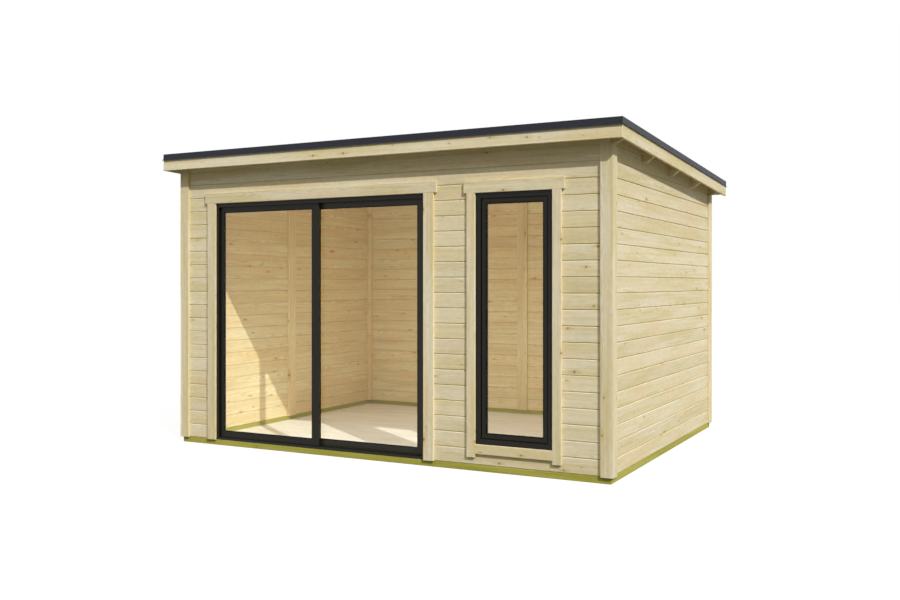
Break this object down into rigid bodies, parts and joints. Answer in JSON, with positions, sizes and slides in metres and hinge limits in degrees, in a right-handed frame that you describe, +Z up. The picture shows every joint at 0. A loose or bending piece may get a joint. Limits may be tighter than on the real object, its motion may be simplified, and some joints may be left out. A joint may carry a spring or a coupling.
{
  "type": "garden house with a sliding glass door",
  "caption": "Timber garden house with a nearly flat pent roof, a two-leaf sliding glass door in a dark frame and a tall narrow window; one hollow room inside.",
  "frame": {"origin": "on the ground under the middle of the roof", "axes": "+X to the right along the front, +Y from the front wall to the back wall, +Z up"},
  "size_m": [4.106, 3.2992, 2.4826],
  "materials": {
    "wall_boards": "planed spruce, unpainted",
    "cover_boards": "planed spruce, unpainted",
    "inner_timber": "planed spruce, unpainted",
    "roof_boards": "rough spruce boards",
    "impregnated_wood": "pressure treated, green",
    "floor_panels": "pale wood panels",
    "dark_frame": "matt anthracite coating",
    "glass": "clear glass",
    "fittings": "bare steel",
    "roof_edge": "satin dark grey coating",
    "roof_covering": "matt roofing sheet"
  },
  "bodies": {
    "house": {"base_beam_front": "impregnated_wood", "base_beam_back": "impregnated_wood", "base_beams_side": "impregnated_wood", "floor": "floor_panels", "front_wall_left": "wall_boards", "front_wall_middle": "wall_boards", "front_wall_right": "wall_boards", "front_wall_over_door": "wall_boards", "front_wall_at_window": "wall_boards", "left_wall": "wall_boards", "right_wall": "wall_boards", "back_wall": "wall_boards", "front_corner_boards": "cover_boards", "back_corner_boards": "cover_boards", "side_corner_boards": "cover_boards", "door_jamb_trims": "cover_boards", "door_header_trim": "cover_boards", "window_jamb_trims": "cover_boards", "window_header_trim": "cover_boards", "window_sill_trim": "cover_boards", "door_jambs": "dark_frame", "door_head": "dark_frame", "door_sill": "dark_frame", "window_frame": "dark_frame", "window_sash": "dark_frame", "window_glass": "glass", "corner_posts": "inner_timber", "wall_battens": "inner_timber", "purlins": "inner_timber", "roof_deck": "roof_boards", "roof_covering": "roof_covering", "fascia_front": "cover_boards", "fascia_back": "cover_boards", "fascia_sides": "cover_boards", "edge_trim_front": "roof_edge", "edge_trim_back": "roof_edge", "edge_trim_sides": "roof_edge"},
    "left_leaf": {"left_leaf_stiles": "dark_frame", "left_leaf_rails": "dark_frame", "left_leaf_glass": "glass", "left_leaf_fittings": "fittings"},
    "right_leaf": {"right_leaf_stiles": "dark_frame", "right_leaf_rails": "dark_frame", "right_leaf_glass": "glass", "right_leaf_fittings": "fittings"}
  },
  "joints": [
    {"name": "left_leaf_slide", "type": "slide", "parent": "house", "child": "left_leaf", "axis": [1, 0, 0], "range_m": [0, 0.915]},
    {"name": "right_leaf_slide", "type": "slide", "parent": "house", "child": "right_leaf", "axis": [1, 0, 0], "range_m": [-0.915, 0]}
  ]
}
